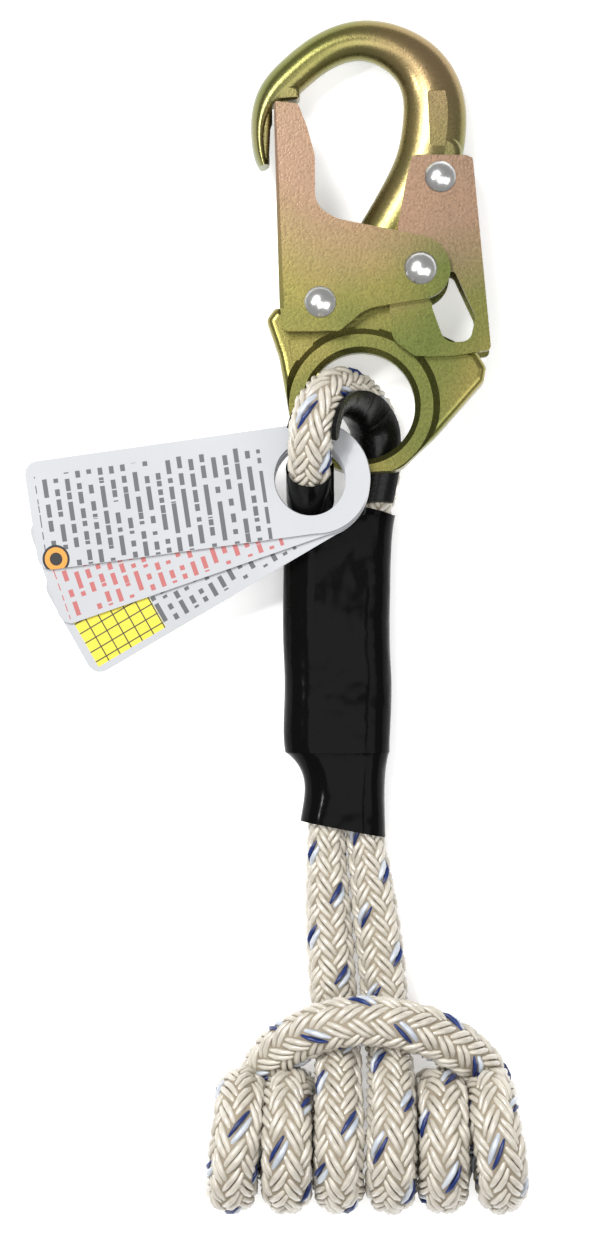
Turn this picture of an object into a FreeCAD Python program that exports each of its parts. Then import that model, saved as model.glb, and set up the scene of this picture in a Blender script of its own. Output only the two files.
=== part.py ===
import FreeCAD, Part
import math
import os
from FreeCAD import Vector, Rotation, Placement

os.makedirs("parts", exist_ok=True)

# driving dimensions, in mm
hook_tilt = 4.6            # the hook leans from the eye down to the surface, degrees
hook_mid_y = -5.0          # where the hook's mid plane is at hook_mid_z
hook_mid_z = 20.0
body_half = 6.0            # half the forging's thickness at the bow
shank_half = 5.4           # half its thickness at the shank
plate_half = 3.5           # half its thickness at the eye
eye_centre = (28.6, 6.0)
eye_r = 15.4
step_r = 20.6              # where the thinner eye plate meets the thicker shank

lever_in, lever_out = 6.3, 8.4     # faces of the lever's two side plates, from the mid plane
gate_in, gate_out = 8.75, 10.9     # faces of the gate's side plates
sheet = 2.2
head_r, head_h = 4.75, 2.4
pin_r = 2.9
pin_gap = 0.06             # running fit of a plate on its rivet
gate_pivot = (16.9, 34.9)
lock_rivet = (45.5, 44.6)
lever_pivot = (51.2, 71.2)
gate_travel = 26.0         # degrees; the lever turns half as far
gate_sweep_r = 59.5        # clears the gate's tip as it swings under the bow

eye_rope_r = 6.6
thimble_wall = 1.5
sleeve_wall = 0.8
leg_r = 7.0

tag_length, tag_width, tag_thick = 101.6, 31.5, 0.8
tag_end_r = 17.6
tag_hole_r = 10.6
tag_pivot = (14.2, -16.6)
tag_slope = 16.0           # the stack slopes down towards the far ends
tag_heading = 19.0
tag_z = 25.9
tag_pitch = 1.2
tag_fan = {"back": 11.0, "middle": 0.0, "front": -11.0}

hitch_centre = (29.7, -203.3, 21.8)
wrap_pitch = 14.9
wrap_count = 6
wrap_path_r = 13.9
bore_r = 6.5


def V(x, y, z=0.0):
    return Vector(x, y, z)


def smooth(points):
    """One smooth edge through the points."""
    curve = Part.BSplineCurve()
    curve.interpolate([V(*p) for p in points])
    return curve.toShape()


def cornered(points):
    """Edges of an open run of (x, y, corner radius); each corner becomes a tangent arc."""
    edges = []
    last = V(*points[0][:2])
    for before, here, after in zip(points, points[1:], points[2:]):
        p, a, b = V(*here[:2]), V(*before[:2]), V(*after[:2])
        ua, ub = (a - p).normalize(), (b - p).normalize()
        turn = ua.getAngle(ub)
        reach = here[2] / math.tan(turn / 2)
        start, end = p + ua * reach, p + ub * reach
        middle = p + (ua + ub).normalize() * (here[2] / math.sin(turn / 2) - here[2])
        if (start - last).Length > 1e-4:
            edges.append(Part.makeLine(last, start))
        edges.append(Part.Arc(start, middle, end).toShape())
        last = end
    edges.append(Part.makeLine(last, V(*points[-1][:2])))
    return edges


def closed(points):
    """A closed outline with rounded corners."""
    x = (points[0][0] + points[-1][0]) / 2
    y = (points[0][1] + points[-1][1]) / 2
    return Part.Wire(cornered([(x, y, 0)] + points + [(x, y, 0)]))


def bar(stations, half):
    """An oval bar through (x, y, half width) stations in the XY plane."""
    path = smooth([(x, y) for x, y, w in stations])
    rings = []
    for x, y, w in stations:
        t = path.Curve.parameter(V(x, y))
        along = path.tangentAt(t)
        oval = FreeCAD.Matrix()
        oval.scale(w, half, 1)
        ring = Part.Circle().toShape().transformGeometry(oval)
        across = along.cross(V(0, 0, 1))
        ring.Placement = Placement(V(x, y), Rotation(across, along.cross(across), along, "ZXY"))
        rings.append(Part.Wire(ring))
    return Part.Wire(path).makePipeShell(rings, True, False)


def slab(wire, low, high):
    """A wire in the XY plane, as a plate from z = low to z = high."""
    face = Part.Face(wire)
    face.translate(V(0, 0, low))
    return face.extrude(V(0, 0, high - low))


def post(centre, radius, low, high):
    return Part.makeCylinder(radius, high - low, V(centre[0], centre[1], low))


def fillet(shape, radius, wanted):
    """Round the edges that wanted(edge) picks."""
    return shape.makeFillet(radius, [e for e in shape.Edges if wanted(e)])


def route(name, points):
    """Straight runs joined by tangent arcs: line, arc, line, arc ... line."""
    radii = []
    pts = [V(*p) for p in points]
    edges = []
    last = pts[0]
    for a, p, b in zip(pts, pts[1:], pts[2:]):
        ua, ub = (a - p), (b - p)
        reach = 0.45 * min(ua.Length, ub.Length)
        ua.normalize()
        ub.normalize()
        half = ua.getAngle(ub) / 2
        bend = reach * math.tan(half)
        radii.append(round(bend, 1))
        middle = p + (ua + ub).normalize() * (bend / math.sin(half) - bend)
        edges += [Part.makeLine(last, p + ua * reach), Part.Arc(p + ua * reach, middle, p + ub * reach).toShape()]
        last = p + ub * reach
    edges.append(Part.makeLine(last, pts[-1]))
    print(name, "bend radii", radii, "mm")
    return edges


def tube(edges, radius):
    """A round bar along a route."""
    start = edges[0].valueAt(edges[0].FirstParameter)
    along = edges[0].tangentAt(edges[0].FirstParameter)
    ring = Part.Wire(Part.Circle(start, along, radius).toShape())
    return Part.Wire(edges).makePipeShell([ring], True, True)


def lay(shape):
    """Tip a shape made flat about z = 0 into the way the hook lies."""
    shape = shape.copy()
    turn = Placement(V(0, 0, hook_mid_z), Rotation(V(1, 0, 0), -hook_tilt), V(0, hook_mid_y, 0))
    shape.Placement = turn.multiply(shape.Placement)
    return shape


def save(name, shape):
    if shape.ShapeType != "Solid":
        solids = shape.Solids
        shape = solids[0] if len(solids) == 1 else Part.makeCompound(solids)
    print(name, shape.ShapeType, shape.isValid(), round(shape.Volume / 1000, 2), "cm3", len(shape.Solids))
    shape.exportStep("parts/" + name + ".step")
    return shape


# ---- hook body: one forging ----
bow = bar([(0.9, 75.0, 1.5), (-0.2, 81.0, 2.4), (0.0, 87.5, 3.0), (3.4, 95.6, 4.6), (9.0, 101.6, 5.3), (16.4, 107.6, 5.4),
           (29.0, 111.8, 5.9), (38.9, 109.2, 6.8), (46.0, 103.2, 7.9), (49.4, 95.0, 8.8), (49.6, 86.0, 9.2),
           (47.6, 76.0, 9.2), (43.0, 66.6, 8.8), (38.0, 58.4, 8.4), (33.4, 51.0, 8.0)], body_half)
nose = closed([(-1.2, 88.5, 4), (1.0, 95.5, 4), (5.0, 99.0, 3), (11.4, 97.5, 2), (10.9, 94.2, 1), (3.0, 93.4, 1.2),
               (2.2, 76.6, 0.6), (0.2, 76.4, 0.6)])
shank = closed([(57.8, 84.0, 5), (57.0, 70.0, 12), (53.0, 48.0, 8), (45.5, 40.0, 4), (46.0, 29.0, 6),
                (61.5, 21.5, 3), (64.3, 17.0, 2.4), (63.6, 13.0, 2.4), (49.5, -3.2, 12), (39.5, -12.6, 6),
                (21.0, -13.4, 14), (8.6, 0.6, 12), (5.2, 20.0, 10), (1.6, 30.6, 2), (4.2, 34.2, 1.5),
                (7.8, 33.0, 1.2), (8.2, 37.0, 3), (11.6, 43.8, 5), (16.0, 50.8, 4), (29.0, 53.0, 3), (41.0, 71.0, 14),
                (46.0, 84.0, 3)])


def face_edge(edge):
    z = [v.Z for v in edge.Vertexes]
    return max(z) - min(z) < 1e-6 and abs(z[0]) > 1


body = fillet(slab(shank, -shank_half, shank_half), 2.2, face_edge)
# the eye end is thinner on both faces, with a sloping shoulder round the eye
for side in (1, -1):
    body = body.cut(Part.makeCone(step_r, step_r + 4.0, 4.0, V(*eye_centre, side * plate_half), V(0, 0, side)))
body = body.cut(post(eye_centre, eye_r, -8, 8))
for side in (1, -1):
    flare = Part.makeCone(eye_r + 1.6, eye_r, 1.6, V(*eye_centre, side * plate_half), V(0, 0, -side))
    body = body.cut(flare)
body = body.fuse([bow, fillet(slab(nose, -shank_half, shank_half), 1.0, face_edge)])
body = body.cut(post(gate_pivot, gate_sweep_r, -8, 8).common(Part.makeBox(30, 12, 16, V(3.2, 84, -8))))

# a plain recessed panel on the shank, and two plain pads at the gate's foot
panel = closed([(48.4, 80.5, 0.8), (54.8, 80.5, 0.8), (53.6, 96.5, 0.8), (47.6, 96.5, 0.8)])
body = body.cut(slab(panel, body_half - 0.5, body_half + 1))
for low_x, low_y in ((8.8, 18.6), (27.4, 24.4)):
    pad = Part.makeBox(6.6, 6.2, 4, V(low_x, low_y, shank_half - 0.5))
    pad.rotate(V(low_x, low_y, 0), V(0, 0, 1), 8)
    body = body.cut(pad)

# bores for the two pivots, room for the lock rivet's travel, pockets for the springs
body = body.cut(post(gate_pivot, pin_r + pin_gap, -8, 8))
body = body.cut(post(lever_pivot, pin_r + pin_gap, -8, 8))


def turned(point, centre, degrees):
    """A point turned about a centre in the XY plane."""
    arm = Rotation(V(0, 0, 1), degrees).multVec(V(point[0] - centre[0], point[1] - centre[1]))
    return (centre[0] + arm.x, centre[1] + arm.y)


opening = [gate_travel * i / 13 for i in range(14)]
body = body.cut([post(turned(lock_rivet, gate_pivot, -t), pin_r + 0.6, -8, 8) for t in opening])
gate_pocket = Part.makeCylinder(2.6, 12.0, V(5.2, 43.4, 0), V(1, 0, 0))
lever_pocket = Part.makeCylinder(2.6, 14.0, V(47.0, 56.0, 0), V(1, 0, 0))
body = body.cut([gate_pocket, lever_pocket])
save("hook_body", lay(body))

# ---- gate: a folded channel with its spine on the left ----
gate_side = closed([(3.6, 92.6, 1.6), (10.6, 91.8, 1.6), (13.2, 85.0, 12), (15.4, 77.0, 12), (15.4, 62.5, 7),
                    (21.5, 58.8, 10), (36.0, 55.9, 8), (55.8, 52.0, 9.6), (52.6, 36.8, 8.4), (30.0, 33.2, 12),
                    (22.5, 26.6, 3), (6.3, 26.6, 1.5), (5.4, 34.0, 20)])
spine = closed([(3.6, 92.6, 1), (3.6 + sheet, 92.4, 0.5), (5.3 + sheet, 35.4, 0.5), (5.3, 35.4, 0.5)])
gate_body = slab(spine, -gate_out, gate_out)
for side in (1, -1):
    low, high = sorted((side * gate_in, side * gate_out))
    gate_body = gate_body.fuse(slab(gate_side, low, high))
for mirror in (1, -1):
    wedge = Part.makePolygon([V(3.0, 93.0, mirror * (gate_out - 1.2)), V(4.2, 93.0, mirror * gate_out),
                              V(4.2, 93.0, mirror * (gate_out + 1)), V(2.0, 93.0, mirror * (gate_out + 1)),
                              V(2.0, 93.0, mirror * (gate_out - 1.2)), V(3.0, 93.0, mirror * (gate_out - 1.2))])
    gate_body = gate_body.cut(Part.Face(wedge).extrude(V(2.4, -60.0, 0)))
gate_body = gate_body.cut([post(gate_pivot, pin_r + pin_gap, -12, 12), post(lock_rivet, pin_r, -12, 12)])
save("gate", lay(gate_body))

# ---- lock lever: a folded channel with its spine on the right, under the gate's plates ----
lever_side = closed([(43.2, 77.6, 2), (60.4, 77.4, 2.4), (62.4, 56.0, 30), (65.6, 21.4, 1.5), (54.0, 19.8, 10),
                     (44.0, 19.6, 5), (37.4, 24.6, 5), (36.6, 33.0, 4), (39.2, 58.0, 20), (41.4, 70.0, 10)])
window = closed([(50.0, 42.0, 3), (54.6, 45.2, 2), (61.2, 31.0, 3), (59.6, 24.0, 3), (52.4, 23.4, 4), (48.6, 34.0, 5)])
slot = [post(turned(turned(lock_rivet, gate_pivot, -t), lever_pivot, t / 2), pin_r + 0.4, -12, 12) for t in opening]
lever_spine = closed([(60.4, 76.8, 0.5), (60.4 - sheet, 76.8, 0.5), (62.3 - sheet, 56.0, 20), (64.2 - sheet, 34.0, 0.5),
                      (64.2, 34.0, 0.5), (62.3, 56.0, 20)])
lever_body = slab(lever_spine, -lever_out, lever_out)
for side in (1, -1):
    low, high = sorted((side * lever_in, side * lever_out))
    lever_body = lever_body.fuse(slab(lever_side, low, high))
lever_body = lever_body.cut(slot + [slab(window, -12, 12), post(lever_pivot, pin_r + pin_gap, -12, 12)])
save("lock_lever", lay(lever_body))


def rivet(centre, reach, bore_gap):
    """A round pin with a domed head on each side."""
    shape = post(centre, pin_r, -reach - 0.5, reach + 0.5)
    for side in (1, -1):
        dome_r = (head_r ** 2 + head_h ** 2) / (2 * head_h)
        ball = Part.makeSphere(dome_r, V(centre[0], centre[1], side * (reach + head_h - dome_r)))
        keep = Part.makeCylinder(head_r + 1, 8, V(centre[0], centre[1], side * (reach + bore_gap)), V(0, 0, side))
        shape = shape.fuse(ball.common(keep))
    return shape


save("gate_pivot_rivet", lay(rivet(gate_pivot, gate_out, 0.35)))
save("gate_lock_rivet", lay(rivet(lock_rivet, gate_out, 0.0)))
save("lever_pivot_rivet", lay(rivet(lever_pivot, lever_out, 0.35)))
for name, side in (("gate_spacer_front", 1), ("gate_spacer_back", -1)):
    low, high = sorted((side * (shank_half + 0.35), side * (gate_in - 0.35)))
    ring = post(gate_pivot, 5.2, low, high).cut(post(gate_pivot, pin_r + pin_gap, -12, 12))
    save(name, lay(ring))


def coil(start, length, radius, wire, turns):
    """An open compression spring along X."""
    helix = Part.makeHelix(length / turns, length, radius)
    ring = Part.Wire(Part.Circle(V(radius, 0, 0), V(0, 1, 0), wire).toShape())
    spring = Part.Wire(helix.Edges).makePipeShell([ring], True, True)
    spring.Placement = Placement(V(*start), Rotation(V(0, 1, 0), 90))
    return spring


save("gate_spring", lay(coil((8.0, 43.4, 0), 8.4, 1.9, 0.35, 5)))
save("lever_spring", lay(coil((47.6, 56.0, 0), 11.6, 1.9, 0.35, 7)))

# ---- the rope's eye and its splice ----
eye_points = [(14.4, -90.0, 9.4), (14.3, -60.0, 9.8), (14.3, -38.0, 11.4), (14.2, -24.5, 15.8), (13.9, -9.0, 36.4),
              (14.2, 0.5, 40.8), (16.6, 7.2, 38.2), (20.2, 10.6, 31.4), (24.8, 10.9, 22.6), (29.4, 8.4, 14.2),
              (33.4, 1.8, 8.0), (34.2, -9.0, 7.2), (32.4, -19.0, 7.6), (29.6, -31.0, 8.6), (29.0, -60.0, 9.2),
              (29.0, -90.0, 9.4)]
eye_path = route("eye", eye_points)
eye_rope = tube(eye_path, eye_rope_r)
save("rope_eye", eye_rope)

loop_centre = V(23.9, -6.7, 23.0)
loop_across = V(20.8, 0, -32.0).normalize()
loop_normal = V(0, 1, 0).cross(loop_across)


def channel(edges, inner, outer, half_angle):
    """A C-section liner along the inside of the eye."""
    start = edges[0].valueAt(edges[0].FirstParameter)
    along = edges[0].tangentAt(edges[0].FirstParameter)
    inward = along.cross(loop_normal).normalize()
    if inward.dot(loop_centre - start) < 0:
        inward = -inward

    def at(radius, degrees):
        return start + Rotation(along, degrees).multVec(inward) * radius

    a = half_angle
    ring = Part.Wire([Part.Arc(at(inner, -a), at(inner, 0), at(inner, a)).toShape(),
                      Part.makeLine(at(inner, a), at(outer, a)),
                      Part.Arc(at(outer, a), at(outer, 0), at(outer, -a)).toShape(),
                      Part.makeLine(at(outer, -a), at(inner, -a))])
    shell = Part.BRepOffsetAPI.MakePipeShell(Part.Wire(edges))
    shell.setBiNormalMode(loop_normal)
    shell.add(ring, False, False)
    shell.build()
    shell.makeSolid()
    return shell.shape()


# edge 2i of the route is the run that ends at point i + 1, and edge 2i + 1 the bend there
liner_inner = eye_rope_r + 0.08
liner = channel(eye_path[9:24], liner_inner, liner_inner + thimble_wall, 86)
liner = save("eye_thimble", liner.cut(tube(eye_path, eye_rope_r + 0.05)))


# ---- sleeve over the splice ----
def stadium(y, left, right, radius):
    """The outline round two strands, in a plane across the sleeve."""
    a, b = V(left[0], y, left[1]), V(right[0], y, right[1])
    along = (b - a).normalize()
    up = V(-along.z, 0, along.x)
    edges = [Part.makeLine(a + up * radius, b + up * radius),
             Part.Arc(b + up * radius, b + along * radius, b - up * radius).toShape(),
             Part.makeLine(b - up * radius, a - up * radius),
             Part.Arc(a - up * radius, a - along * radius, a + up * radius).toShape()]
    return Part.Wire(edges)


sleeve_runs = [(-24.8, (14.4, 16.8), (30.6, 8.6)), (-33.0, (14.4, 13.2), (29.5, 8.8)), (-46.0, (14.3, 11.0), (29.1, 9.0)),
               (-62.0, (14.3, 10.0), (29.0, 9.2)), (-88.0, (14.4, 9.6), (29.0, 9.5)), (-91.0, (14.6, 9.5), (28.9, 9.5))]
shoulder = (-93.0, (14.9, 9.4), (28.9, 9.4))
neck_runs = [(-99.0, (19.2, 9.0), (28.3, 9.0)), (-108.0, (19.4, 9.0), (28.1, 9.0)), (-122.0, (19.3, 9.0), (28.2, 9.0))]


def along_sleeve(runs, radius):
    return Part.makeLoft([stadium(y, a, b, radius) for y, a, b in runs], True, False)


sleeve_r = eye_rope_r + 0.6 + sleeve_wall
neck = Part.makeLoft([stadium(*shoulder, sleeve_r - 0.2)] + [stadium(*run, sleeve_r - 0.6) for run in neck_runs], True)
sleeve = along_sleeve(sleeve_runs + [shoulder], sleeve_r).fuse(neck)
hollow = along_sleeve(sleeve_runs, sleeve_r - sleeve_wall)
hollow = hollow.fuse(along_sleeve([(-21.0, (14.4, 19.6), (30.9, 8.6)), sleeve_runs[0]], sleeve_r - sleeve_wall))
below = Part.makeBox(120, 100, 80, V(-40, -215, -10))
below.rotate(V(23.8, -115.0, 0), V(0, 0, 1), -11)
sleeve = sleeve.cut(hollow).cut(below).cut(tube(eye_path, eye_rope_r + 0.03))
sleeve = save("shrink_sleeve", max(sleeve.Solids, key=lambda solid: solid.Volume))
for name, run in (("throat_wrap_left", eye_path[6:7]), ("throat_wrap_right", eye_path[24:25])):
    film = tube(run, eye_rope_r + 0.25).cut(tube(run, eye_rope_r + 0.05)).cut(liner).cut(sleeve)
    save(name, max(film.Solids, key=lambda solid: solid.Volume))

whipping_runs = [(-84.0, (14.4, 9.5), (29.0, 9.4)), (-88.0, (14.4, 9.5), (29.0, 9.4))]
whipping = along_sleeve(whipping_runs, eye_rope_r + 0.4).cut(along_sleeve(whipping_runs, eye_rope_r + 0.05))
save("whipping", whipping.cut(tube(eye_path, eye_rope_r + 0.02)).cut(sleeve))
save("lock_stitching", Part.makeCylinder(0.5, 30.0, V(21.65, -79.0, 9.9), V(0, 1, 0)).fuse(
    [Part.makeSphere(0.6, V(21.65, -50.0 - 6.5 * row, 9.9)) for row in range(5)]))

# ---- legs, hitch and bridge ----
cx, cy, cz = hitch_centre
wrap_x = [cx + wrap_pitch * (i - (wrap_count - 1) / 2) for i in range(wrap_count)]
leg_ends = {"left": [(17.1, -104.0, 9.0), (17.4, -124.0, 9.2), (19.2, -150.0, 10.4), (20.8, -171.0, 13.4),
                     (wrap_x[2], -192.5, 31.5)],
            "right": [(31.3, -104.0, 9.0), (31.9, -124.0, 9.2), (34.3, -150.0, 10.4), (36.2, -171.0, 13.4),
                      (wrap_x[3], -192.5, 31.5)]}
for side, points in leg_ends.items():
    save("rope_leg_" + side, tube(route("leg " + side, points), leg_r).common(below))

wraps = Part.makeCylinder(wrap_path_r + 1.5, wrap_pitch * 5 + 8.0, V(wrap_x[0] - 4.0, cy, cz), V(1, 0, 0))
wraps = wraps.fuse([Part.makeTorus(wrap_path_r, wrap_pitch / 2 + 0.1, V(x, cy, cz), V(1, 0, 0)) for x in wrap_x])
save("hitch_wraps", wraps.cut(Part.makeCylinder(bore_r, 140, V(cx - 70, cy, cz), V(1, 0, 0))))
bridge_points = [(wrap_x[0] + 2.5, -199.0, 8.6), (wrap_x[0] + 5.0, -190.0, 12.5), (7.5, -177.0, 24.0),
                 (19.0, -168.6, 31.2), (30.0, -167.2, 31.8), (41.0, -168.6, 31.2), (53.5, -177.0, 24.0),
                 (wrap_x[5] - 5.0, -190.0, 12.5), (wrap_x[5] - 2.5, -199.0, 8.6)]
save("hitch_bridge", tube(route("bridge", bridge_points), leg_r))

# ---- tags on the front strand ----
left_end = tag_end_r - tag_length
slope = Rotation(V(0, 0, 1), tag_heading).multiply(Rotation(V(0, 1, 0), -tag_slope))
strand = slope.inverted().multVec(V(*eye_points[4]) - V(*eye_points[3]))
for level, name in enumerate(("back", "middle", "front")):
    card = slab(closed([(left_end, -tag_width / 2, 4), (1.7, -tag_width / 2, 0.5), (1.7, tag_width / 2, 0.5),
                        (left_end, tag_width / 2, 4)]), 0, tag_thick)
    card = card.fuse(post((1.7, 0), tag_end_r - 1.7, 0, tag_thick))
    card = card.cut(post((0, 0), tag_hole_r, -2, 2))
    card.rotate(V(0, 0, 0), V(0, 0, 1), tag_fan[name])
    card.translate(strand * (level * tag_pitch / strand.z))
    card.Placement = Placement(V(*tag_pivot, tag_z), slope).multiply(card.Placement)
    save("tag_" + name, card)
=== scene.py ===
import math
import random

import bpy
from mathutils import Matrix, Vector


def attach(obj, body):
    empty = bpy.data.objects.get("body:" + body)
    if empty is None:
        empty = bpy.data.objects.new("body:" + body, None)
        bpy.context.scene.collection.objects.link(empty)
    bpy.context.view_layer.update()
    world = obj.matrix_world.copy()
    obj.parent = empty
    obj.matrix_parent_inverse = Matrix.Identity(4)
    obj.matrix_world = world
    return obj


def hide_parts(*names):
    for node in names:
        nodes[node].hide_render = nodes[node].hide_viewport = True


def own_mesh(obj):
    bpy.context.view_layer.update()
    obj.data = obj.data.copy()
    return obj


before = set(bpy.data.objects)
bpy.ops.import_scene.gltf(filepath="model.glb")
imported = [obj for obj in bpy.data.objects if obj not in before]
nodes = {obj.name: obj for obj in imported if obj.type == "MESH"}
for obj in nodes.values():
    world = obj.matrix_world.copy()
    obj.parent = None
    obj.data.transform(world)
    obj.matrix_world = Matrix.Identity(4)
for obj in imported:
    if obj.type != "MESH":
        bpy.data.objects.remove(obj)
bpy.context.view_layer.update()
random.seed(7)
print("frame loaded:", len(nodes), "nodes")


class Wire:  # a socket that can be used in sums
    def __init__(self, shader, socket):
        self.shader = shader
        self.socket = socket

    def sum(self, operation, *values, clamp=False):
        settings = {"operation": operation, "use_clamp": clamp}
        return self.shader.node("ShaderNodeMath", settings, dict(enumerate(values)))

    def __add__(self, other):
        return self.sum("ADD", self, other)

    def __radd__(self, other):
        return self.sum("ADD", other, self)

    def __sub__(self, other):
        return self.sum("SUBTRACT", self, other)

    def __rsub__(self, other):
        return self.sum("SUBTRACT", other, self)

    def __mul__(self, other):
        return self.sum("MULTIPLY", self, other)

    def __rmul__(self, other):
        return self.sum("MULTIPLY", other, self)

    def __truediv__(self, other):
        return self.sum("DIVIDE", self, other)

    def __gt__(self, other):
        return self.sum("GREATER_THAN", self, other)

    def __lt__(self, other):
        return self.sum("LESS_THAN", self, other)

    def floor(self):
        return self.sum("FLOOR", self)

    def fract(self):
        return self.sum("FRACT", self)

    def size(self):
        return self.sum("ABSOLUTE", self)

    def clamped(self):
        return self.sum("ADD", self, 0.0, clamp=True)


class Shader:  # one material and its nodes
    def __init__(self, name):
        self.material = bpy.data.materials.new(name)
        self.material.use_nodes = True
        self.tree = self.material.node_tree
        self.surface = self.tree.nodes["Principled BSDF"]
        self.place = self.tree.nodes.new("ShaderNodeTexCoord").outputs["Object"]

    def node(self, kind, settings=None, sockets=None, out=0):
        made = self.tree.nodes.new(kind)
        for key, value in (settings or {}).items():
            if key == "stops":
                ramp = made.color_ramp
                while len(ramp.elements) < len(value):
                    ramp.elements.new(0.5)
                for element, (position, colour) in zip(ramp.elements, value):
                    element.position = position
                    element.color = colour
            else:
                setattr(made, key, value)
        for key, value in (sockets or {}).items():
            self.put(made.inputs[key], value)
        return Wire(self, made.outputs[out])

    def put(self, socket, value):
        if isinstance(value, Wire):
            value = value.socket
        if isinstance(value, bpy.types.NodeSocket):
            self.tree.links.new(value, socket)
        else:
            socket.default_value = value

    def set(self, **values):  # Base_Color stands for the socket Base Color, and so on
        for key, value in values.items():
            self.put(self.surface.inputs[key.replace("_", " ")], value)
        return self.material

    def noise(self, scale, detail=3.0, place=None):
        sockets = {"Vector": place or self.place, "Scale": scale, "Detail": detail}
        return self.node("ShaderNodeTexNoise", {}, sockets)

    def ramp(self, value, stops):
        return self.node("ShaderNodeValToRGB", {"stops": stops}, {"Fac": value})

    def mix(self, share, a, b):
        return self.node("ShaderNodeMix", {"data_type": "RGBA"}, {0: share, 6: a, 7: b}, 2)

    def bump(self, height, strength, distance):
        return self.node("ShaderNodeBump", {}, {"Height": height, "Strength": strength, "Distance": distance})


def paint(nodeNames, material):  # a CAD node keeps its shape and takes a finish
    for nodeName in nodeNames:
        mesh = nodes[nodeName].data
        if not mesh.materials:
            mesh.materials.append(material)
        for i in range(len(mesh.materials)):
            mesh.materials[i] = material
    print("finish:", material.name)


def deselect():
    if bpy.context.object and bpy.context.object.mode != "OBJECT":
        bpy.ops.object.mode_set(mode="OBJECT")
    bpy.ops.object.select_all(action="DESELECT")


def addObject(name, data):
    made = bpy.data.objects.new(name, data)
    bpy.context.scene.collection.objects.link(made)
    return made


deselect()

# camera, straight above: it sees "seen" metres of height at the object's middle level
camera = {"middle": (0.01115, -0.0539), "height": 1.8, "seen": 0.3526, "level": 0.018, "film": 36}
cameraData = bpy.data.cameras.new("camera")
cameraData.lens = camera["film"] * (camera["height"] - camera["level"]) / camera["seen"]
cameraData.clip_end = 20
cameraObject = addObject("camera", cameraData)
cameraObject.location = (*camera["middle"], camera["height"])
bpy.context.scene.camera = cameraObject

# rope: a double braid of paired yarns, two over and two under
rope = {"radius": 0.00725, "eyeRadius": 0.0066, "declared": 0.0143,
        "pick": 0.0060, "columns": 8, "yarnWide": 0.00106, "yarnHigh": 0.00125,
        "reach": 0.64,       # how far a yarn runs each side of its middle, in columns and picks
        "dive": 0.0014,      # how deep its ends go under the next ones
        "tracerEvery": 4, "tracerWide": 0.68,
        "coreSides": 20, "coreStep": 0.0016}
yarnProfile = [(-1.0, 0.0), (-0.62, 0.72), (0.0, 1.0), (0.62, 0.72), (1.0, 0.0)]   # (across, height)
yarnStations = [-1.0, -0.68, -0.25, 0.25, 0.68, 1.0]


def ropeFinish(name, colours, rough, gloss=0.8):
    s = Shader(name)
    patches = s.noise(260.0, 2.0)
    fibre = s.noise(2600.0, 2.0)
    colour = s.ramp(patches, [(0.3, colours[0]), (0.7, colours[1])])
    return s.set(Base_Color=colour, Roughness=rough + fibre * 0.10, Specular_IOR_Level=gloss,
                 Coat_Weight=0.6 * gloss, Coat_Roughness=0.16, Normal=s.bump(fibre, 0.22, 0.0002))


yarnKinds = {"plain": 0, "tracer": 1, "paleTracer": 2, "core": 3}
yarnFinishes = [ropeFinish("yarn", [(0.47, 0.43, 0.36, 1), (0.60, 0.56, 0.48, 1)], 0.19),
                ropeFinish("tracerYarn", [(0.004, 0.014, 0.09, 1), (0.008, 0.03, 0.16, 1)], 0.3, 0.4),
                ropeFinish("paleTracerYarn", [(0.40, 0.44, 0.50, 1), (0.55, 0.58, 0.62, 1)], 0.25),
                # the core's dark colour is painted shade for the gaps between the yarns
                ropeFinish("ropeCorePaintedShade", [(0.26, 0.22, 0.16, 1), (0.34, 0.29, 0.22, 1)], 0.8, 0.1)]


def smoothRoute(name, points):  # the points of a NURBS spline's own line
    curve = bpy.data.curves.new(name, "CURVE")
    curve.dimensions = "3D"
    curve.resolution_u = 16
    spline = curve.splines.new("NURBS")
    spline.points.add(len(points) - 1)
    for point, place in zip(spline.points, points):
        point.co = (*place, 1.0)
    spline.order_u = 3
    spline.use_endpoint_u = True
    holder = addObject(name, curve)
    bpy.context.view_layer.update()
    line = bpy.data.meshes.new_from_object(holder)
    places = [v.co.copy() for v in line.vertices]
    bpy.data.objects.remove(holder)
    bpy.data.meshes.remove(line)
    return places


class Run:  # places and sideways directions along a line, with no twist of its own
    def __init__(self, places):
        self.places = places
        self.along = [0.0]
        for a, b in zip(places, places[1:]):
            self.along.append(self.along[-1] + (b - a).length)
        self.length = self.along[-1]
        self.tangents = []
        self.sides = []
        side = None
        for i in range(len(places)):
            tangent = (places[min(i + 1, len(places) - 1)] - places[max(i - 1, 0)]).normalized()
            if side is None:
                side = tangent.orthogonal()
            side = (side - tangent * side.dot(tangent)).normalized()
            self.tangents.append(tangent)
            self.sides.append(side)

    def at(self, distance):
        distance = min(max(distance, 0.0), self.length)
        low, high = 0, len(self.along) - 1
        while high - low > 1:
            middle = (low + high) // 2
            if self.along[middle] <= distance:
                low = middle
            else:
                high = middle
        gap = self.along[high] - self.along[low]
        share = (distance - self.along[low]) / gap if gap else 0.0
        place = self.places[low].lerp(self.places[high], share)
        tangent = self.tangents[low].lerp(self.tangents[high], share).normalized()
        side = self.sides[low].lerp(self.sides[high], share)
        side = (side - tangent * side.dot(tangent)).normalized()
        return place, side, tangent.cross(side)

    def onSurface(self, angle, distance, radius):
        middle, side, up = self.at(distance)
        return middle + (side * math.cos(angle) + up * math.sin(angle)) * radius


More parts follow.
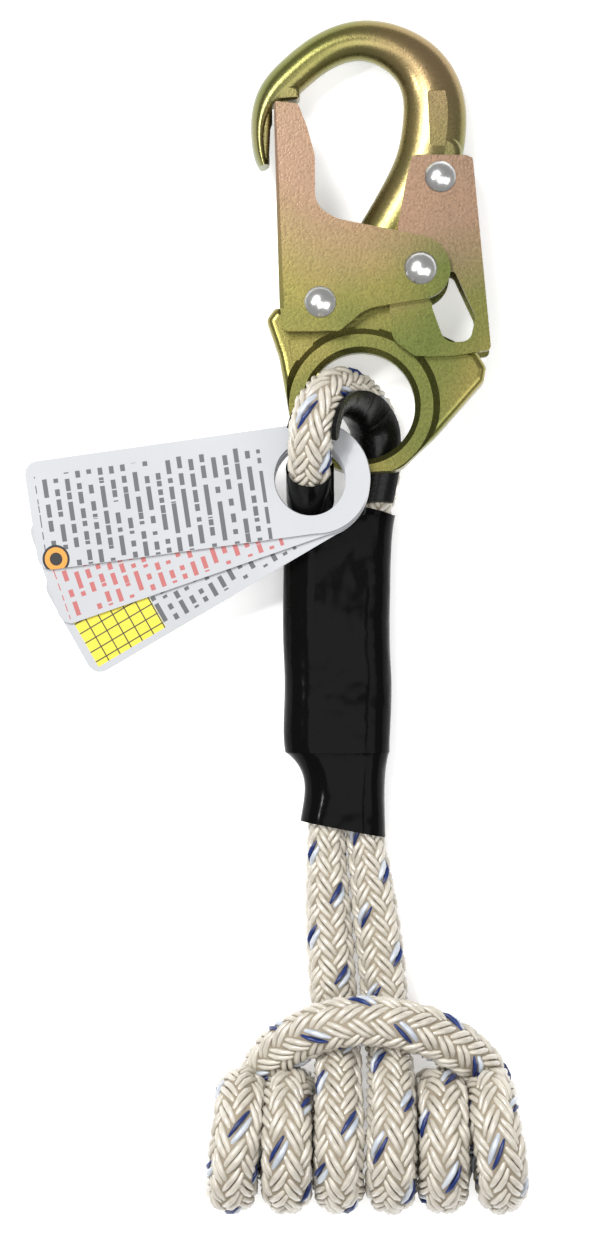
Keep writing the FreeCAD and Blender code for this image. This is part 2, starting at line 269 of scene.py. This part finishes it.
class Braid:  # the core and the yarns of one rope, as one closed-faced mesh
    def __init__(self, run, radiusAt, tracerShift):
        self.run = run
        self.radiusAt = radiusAt
        self.tracerShift = tracerShift
        self.verts, self.faces, self.kinds = [], [], []
        lead = 2 * math.pi * rope["radius"] / rope["columns"]
        slant = math.hypot(lead, rope["pick"])
        self.across, self.alongYarn = rope["pick"] / slant, lead / slant
        self.core()
        picks = int(run.length / rope["pick"]) + 2
        for column in range(rope["columns"]):
            for i in range(-1, picks):
                self.pair(column, i)

    def tube(self, first, rings, sides, kind, flip=False):  # joins rings of vertices and closes both ends
        for s in range(rings - 1):
            for k in range(sides):
                a, b = first + s * sides + k, first + s * sides + (k + 1) % sides
                self.faces.append((b, a, a + sides, b + sides) if flip else (a, b, b + sides, a + sides))
                self.kinds.append(kind)
        end = first + (rings - 1) * sides
        for cap in (tuple(first + k for k in reversed(range(sides))), tuple(end + k for k in range(sides))):
            self.faces.append(tuple(reversed(cap)) if flip else cap)
            self.kinds.append(kind)

    def core(self):  # the tube under the yarns, coloured darker than them as painted shade in the gaps between yarns
        sides, rings = rope["coreSides"], int(self.run.length / rope["coreStep"])
        for i in range(rings + 1):
            distance = self.run.length * i / rings
            radius = self.radiusAt(distance) - rope["yarnHigh"]
            for k in range(sides):
                self.verts.append(self.run.onSurface(2 * math.pi * k / sides, distance, radius))
        self.tube(0, rings + 1, sides, yarnKinds["core"])

    def pair(self, column, i):  # two yarns side by side, where their carrier comes over the others
        columns, pick = rope["columns"], rope["pick"]
        lean = 1 if column % 2 == 0 else -1
        middleU = column + 0.25
        middleV = i + (middleU % 1.0 if lean > 0 else 1 - middleU % 1.0)
        carrier = round(middleU - lean * middleV) % columns
        if middleV * pick < 0.001 or middleV * pick > self.run.length - 0.001:
            return
        marked = lean > 0 and (carrier + self.tracerShift) % rope["tracerEvery"] == 0
        for yarn in (-1, 1):
            kind = ("tracer" if yarn < 0 else "paleTracer") if marked else "plain"
            self.yarn(middleU, middleV, lean, yarn, yarnKinds[kind])

    def yarn(self, middleU, middleV, lean, yarn, kind):
        high = rope["yarnHigh"]
        first = len(self.verts)
        wide = rope["yarnWide"] * random.uniform(0.93, 1.07)
        wide *= rope["tracerWide"] if kind == yarnKinds["tracer"] else 1.0
        lift = random.uniform(-0.00012, 0.00012)
        for t in yarnStations:
            u = middleU + t * rope["reach"]
            v = middleV + t * rope["reach"] * lean
            narrow = wide * (1 - 0.55 * abs(t) ** 3)
            for a, h in yarnProfile:
                offset = yarn * rope["yarnWide"] * 0.97 * (1 - 0.25 * t * t) + a * narrow
                distance = v * rope["pick"] + offset * self.alongYarn
                radius = self.radiusAt(distance)
                bed = radius - high - rope["dive"] * abs(t) ** 2.2 + lift
                angle = 2 * math.pi * u / rope["columns"] - lean * offset * self.across / radius
                self.verts.append(self.run.onSurface(angle, distance, bed + h * high * (1 - 0.4 * t * t)))
        self.tube(first, len(yarnStations), len(yarnProfile), kind, flip=lean < 0)


def makeRope(name, run, radiusAt, tracerShift=0):
    braid = Braid(run, radiusAt, tracerShift)
    mesh = bpy.data.meshes.new(name)
    mesh.from_pydata(braid.verts, [], braid.faces)
    for material in yarnFinishes:
        mesh.materials.append(material)
    mesh.polygons.foreach_set("material_index", braid.kinds)
    mesh.polygons.foreach_set("use_smooth", [True] * len(mesh.polygons))
    mesh.update()
    piece = addObject(name, mesh)
    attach(piece, "rope_assembly")
    print("rope:", name, round(run.length, 4), "m", len(braid.faces), "faces")
    return piece


def easing(value):
    value = min(max(value, 0.0), 1.0)
    return value * value * (3 - 2 * value)


# the hitch: three wraps each side of the middle, counted outwards; angles run on from wrap to wrap,
# 90 is a wrap's top, and the rope crosses to the next wrap underneath
hitch = {"x": 0.0297, "y": -0.2033, "z": 0.0218, "pitch": 0.0149, "radius": 0.0143,
         "firstAngle": 75.0, "lastAngle": 1000.0, "angleStep": 28.0, "crossFrom": 200.0, "crossFor": 190.0}
legLeft = [(0.0190, -0.1085, 0.0090), (0.0186, -0.1240, 0.0092), (0.0198, -0.1480, 0.0102),
           (0.0210, -0.1670, 0.0128), (0.0218, -0.1790, 0.0206), (0.0221, -0.1885, 0.0305)]
legRight = [(0.0284, -0.1085, 0.0090), (0.0309, -0.1240, 0.0092), (0.0340, -0.1480, 0.0102),
            (0.0358, -0.1670, 0.0128), (0.0367, -0.1790, 0.0206), (0.0371, -0.1885, 0.0305)]
bridge = [(-0.0010, -0.1890, 0.0108), (0.0030, -0.1800, 0.0180), (0.0105, -0.1735, 0.0262),
          (0.0195, -0.1695, 0.0312), (0.0297, -0.1683, 0.0322), (0.0420, -0.1697, 0.0312),
          (0.0530, -0.1745, 0.0262), (0.0615, -0.1815, 0.0180), (0.0660, -0.1900, 0.0108)]


def wrapPoint(angle):
    turn = (angle - hitch["crossFrom"]) / 360.0
    wrap = 0.0
    if turn > 0:
        wrap = math.floor(turn) + easing((turn - math.floor(turn)) * 360.0 / hitch["crossFor"])
    # the outer wrap leans in at its top, and the end leans in again on its way to the bridge
    lean = 0.16 * easing((angle - 640.0) / 110.0) * (1 - easing((angle - 765.0) / 80.0))
    lean += 0.30 * easing((angle - 930.0) / 80.0)
    outwards = min(wrap, 2.0) - lean
    x = hitch["x"] - (outwards + 0.5) * hitch["pitch"] - 0.0008 * max(0.0, outwards - 1)
    around = math.radians(angle)
    return x, hitch["y"] + hitch["radius"] * math.cos(around), hitch["z"] + hitch["radius"] * math.sin(around)


def mirrored(point):  # the right half's outer wrap stands a little further out
    x, y, z = point
    return 2 * hitch["x"] - x + 0.0008 * max(0.0, 1 - (x + 0.0076) / 0.0080), y, z


angles = int((hitch["lastAngle"] - hitch["firstAngle"]) / hitch["angleStep"]) + 1
wrapsLeft = [wrapPoint(hitch["firstAngle"] + hitch["angleStep"] * i) for i in range(angles)]
wrapsRight = [mirrored(point) for point in reversed(wrapsLeft)]
hitchRun = Run(smoothRoute("hitchRoute", legLeft + wrapsLeft + bridge + wrapsRight + legRight[::-1]))


def hitchRadius(distance):  # squeezed where the sleeve grips it, fullest in the wraps
    near = min(distance, hitchRun.length - distance)
    return 0.0056 + 0.0015 * easing(near / 0.040) + 0.0005 * easing((near - 0.080) / 0.020)


hitchRope = makeRope("hitchRope", hitchRun, hitchRadius)
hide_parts("rope_leg_left", "rope_leg_right", "hitch_wraps", "hitch_bridge")

# the eye: up one strand, through the hook and back down
eyePoints = [(0.0143, -0.0600, 0.0098), (0.0143, -0.0380, 0.0114), (0.0142, -0.0245, 0.0158),
             (0.0139, -0.0090, 0.0364), (0.0142, 0.0005, 0.0408), (0.0166, 0.0072, 0.0382),
             (0.0202, 0.0106, 0.0314), (0.0248, 0.0109, 0.0226), (0.0294, 0.0084, 0.0142),
             (0.0334, 0.0018, 0.0080), (0.0342, -0.0090, 0.0072), (0.0324, -0.0190, 0.0076),
             (0.0296, -0.0310, 0.0086), (0.0290, -0.0600, 0.0092)]
eyeRun = Run(smoothRoute("eyeRoute", eyePoints))
eyeRope = makeRope("eyeRope", eyeRun, lambda distance: rope["eyeRadius"], tracerShift=2)
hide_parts("rope_eye")

# yellow zinc plate: olive and gold clouds with pink patches
zinc = {"gold": (0.25, 0.215, 0.065, 1), "olive": (0.13, 0.155, 0.042, 1), "pink": (0.37, 0.21, 0.17, 1)}


def zincFinish(name, pinkAmount):
    s = Shader(name)
    cloud = s.noise(28.0, 2.0)
    wide = s.noise(9.0, 1.0)
    grain = s.noise(1400.0)
    colour = s.mix((cloud * 3.0 - 1.0).clamped(), zinc["olive"], zinc["gold"])
    colour = s.mix(((wide - 0.5) * 7.0 + pinkAmount).clamped() * 0.7, colour, zinc["pink"])
    return s.set(Base_Color=colour, Metallic=0.9, Roughness=0.20 + grain * 0.16,
                 Normal=s.bump(grain, 0.10, 0.0003))


paint(["hook_body"], zincFinish("zincForging", -0.35))
paint(["gate"], zincFinish("zincGate", 0.15))
paint(["lock_lever"], zincFinish("zincLever", 0.65))


def rivetFinish():
    s = Shader("rivetSteel")
    grain = s.noise(900.0, 2.0)
    return s.set(Base_Color=(0.74, 0.74, 0.73, 1), Metallic=1.0, Roughness=0.18 + grain * 0.12,
                 Normal=s.bump(grain, 0.08, 0.0002))


paint(["gate_pivot_rivet", "gate_lock_rivet", "lever_pivot_rivet", "gate_spacer_front", "gate_spacer_back"],
      rivetFinish())

# the two springs, each a merged copy of its CAD coil at its CAD length (the real springs shorten as their
# plates swing in)
springs = {"gate_spring": {"joint": "gate_hinge", "keep": 0.55, "fixedEnd": "high"},
           "lever_spring": {"joint": "lever_hinge", "keep": 0.62, "fixedEnd": "low"}}


def springFinish():
    s = Shader("springSteel")
    drawn = s.noise(1800.0, 2.0)
    return s.set(Base_Color=s.mix(drawn, (0.32, 0.32, 0.33, 1), (0.45, 0.45, 0.46, 1)), Metallic=1.0,
                 Roughness=0.24 + drawn * 0.14)


springSteel = springFinish()
for name, spring in springs.items():
    piece = addObject(name.replace("_s", "S"), nodes[name].data.copy())
    deselect()
    piece.select_set(True)
    bpy.context.view_layer.objects.active = piece
    bpy.ops.object.mode_set(mode="EDIT")
    bpy.ops.mesh.select_all(action="SELECT")
    bpy.ops.mesh.remove_doubles(threshold=0.00001)
    bpy.ops.object.mode_set(mode="OBJECT")
    bpy.ops.object.shade_smooth_by_angle(angle=math.radians(40))
    piece.data.materials.clear()
    piece.data.materials.append(springSteel)
    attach(piece, "hook")
    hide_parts(name)
    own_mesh(piece)
deselect()
print("springs")


# black plastics and twine
def sleeveFinish():
    s = Shader("shrinkPlastic")
    ripple = s.noise(70.0, 2.0)
    skin = s.noise(1500.0, 2.0)
    return s.set(Base_Color=s.mix(skin, (0.002, 0.002, 0.002, 1), (0.004, 0.004, 0.004, 1)),
                 Roughness=0.10 + skin * 0.10, Specular_IOR_Level=0.04, Normal=s.bump(ripple, 0.6, 0.0014))


def thimbleFinish():
    s = Shader("linerPlastic")
    skin = s.noise(900.0, 2.0)
    return s.set(Base_Color=s.mix(skin, (0.002, 0.002, 0.002, 1), (0.005, 0.005, 0.005, 1)),
                 Roughness=0.20 + skin * 0.12, Specular_IOR_Level=0.2, Normal=s.bump(skin, 0.2, 0.0002))


paint(["shrink_sleeve", "throat_wrap_left", "throat_wrap_right"], sleeveFinish())
paint(["eye_thimble"], thimbleFinish())
paint(["whipping", "lock_stitching"],
      ropeFinish("twine", [(0.42, 0.37, 0.27, 1), (0.55, 0.50, 0.38, 1)], 0.6, 0.3))

# tags: laminated card with plain bars where the print is; x is negative, from the hole to the far end
tag = {"base": (0.0142, -0.0166, 0.0259), "heading": 19.0, "slope": 16.0,
       "fan": {"back": 11.0, "middle": 0.0, "front": -11.0},
       "card": [(0.43, 0.44, 0.46, 1), (0.50, 0.51, 0.53, 1)],
       "ink": {"back": (0.03, 0.03, 0.035, 1), "middle": (0.45, 0.06, 0.05, 1),
               "front": (0.03, 0.03, 0.035, 1)},
       "row": 0.0034, "printHalf": 0.0135, "printFrom": -0.0805, "printTo": -0.0125}
emblem = {"x": -0.0775, "y": -0.0108, "outer": 0.0041, "ring": 0.0034, "middle": 0.0019,
          "dark": (0.02, 0.02, 0.02, 1), "orange": (0.72, 0.30, 0.05, 1)}
grid = {"from": -0.0815, "to": -0.058, "half": 0.0138, "cellX": 0.0039, "cellY": 0.0031,
        "yellow": (0.72, 0.62, 0.06, 1), "rule": (0.06, 0.06, 0.03, 1)}


def printedBars(s, x, y):
    row = x / tag["row"]
    line = s.node("ShaderNodeCombineXYZ", {}, {"X": row.floor() * 3.7, "Y": y * 420.0})
    words = s.noise(1.0, 1.0, line.socket) > 0.46
    inside = ((y.size() < tag["printHalf"]) * (x > tag["printFrom"])) * (x < tag["printTo"])
    return (row.fract() < 0.42) * words * inside * 0.82


def addEmblem(s, x, y, colour):  # a plain ring on a dark disc
    acrossX, acrossY = x - emblem["x"], y - emblem["y"]
    away = acrossX * acrossX + acrossY * acrossY
    colour = s.mix(away < emblem["outer"] ** 2, colour, emblem["dark"])
    return s.mix((away < emblem["ring"] ** 2) * (away > emblem["middle"] ** 2), colour, emblem["orange"])


def addGrid(s, x, y, colour):  # a plain record grid at the tag's far end
    inside = (x < grid["to"]) * (x > grid["from"]) * (y.size() < grid["half"])
    rules = (((x / grid["cellX"]).fract() < 0.10) + ((y / grid["cellY"]).fract() < 0.12)).clamped()
    colour = s.mix(inside, colour, grid["yellow"])
    return s.mix(inside * rules, colour, grid["rule"])


def tagFinish(name):
    s = Shader("tag" + name.capitalize())
    turn = (Matrix.Rotation(math.radians(tag["heading"]), 4, "Z")
            @ Matrix.Rotation(math.radians(-tag["slope"]), 4, "Y")
            @ Matrix.Rotation(math.radians(tag["fan"][name]), 4, "Z"))
    flat = s.node("ShaderNodeMapping", {"vector_type": "TEXTURE"},
                  {"Vector": s.place, "Location": tag["base"], "Rotation": turn.to_euler()})
    x = s.node("ShaderNodeSeparateXYZ", {}, {"Vector": flat}, 0)
    y = s.node("ShaderNodeSeparateXYZ", {}, {"Vector": flat}, 1)
    colour = s.mix(printedBars(s, x, y), s.mix(s.noise(30.0, 1.0), *tag["card"]), tag["ink"][name])
    if name == "front":
        colour = addEmblem(s, x, y, colour)
    if name == "back":
        colour = addGrid(s, x, y, colour)
    return s.set(Base_Color=colour, Roughness=0.28 + s.noise(400.0, 2.0) * 0.08, Coat_Weight=0.35,
                 Coat_Roughness=0.12)


for name in ("back", "middle", "front"):
    paint(["tag_" + name], tagFinish(name))

# floor and light
floor = {"size": 6, "level": -0.0004, "glow": 0.35}
lights = {"key": {"place": (-0.45, 0.55, 1.30), "size": 0.50, "power": 17.0},
          "fill": {"place": (0.9, -0.35, 1.2), "size": 0.8, "power": 6.0},
          "top": {"place": (0.1, -0.5, 2.3), "size": 1.2, "power": 15.0},
          "spark": {"place": (-0.85, 0.10, 1.20), "size": 0.10, "power": 5.0}}
lightsAim = Vector((0.01, -0.05, 0.02))


def floorFinish():
    s = Shader("floorPaper")
    return s.set(Base_Color=s.mix(s.noise(12.0), (0.93, 0.93, 0.93, 1), (0.95, 0.95, 0.95, 1)), Roughness=0.9,
                 Specular_IOR_Level=0.1, Emission_Color=(1, 1, 1, 1), Emission_Strength=floor["glow"])


bpy.ops.mesh.primitive_plane_add(size=floor["size"], location=(0, 0, floor["level"]))
floorObject = bpy.context.object
floorObject.name = "floor"
floorObject.data.materials.append(floorFinish())

for name, light in lights.items():
    lightData = bpy.data.lights.new(name, "AREA")
    lightData.size = light["size"]
    lightData.energy = light["power"]
    lamp = addObject(name, lightData)
    lamp.location = light["place"]
    lamp.rotation_euler = (lightsAim - Vector(light["place"])).to_track_quat("-Z", "Y").to_euler()
world = bpy.data.worlds.new("studio")
bpy.context.scene.world = world
world.use_nodes = True
world.node_tree.nodes["Background"].inputs[0].default_value = (1, 1, 1, 1)
world.node_tree.nodes["Background"].inputs[1].default_value = 0.35
bpy.context.scene.view_settings.view_transform = "Standard"
print("stage and lights")

print("done")
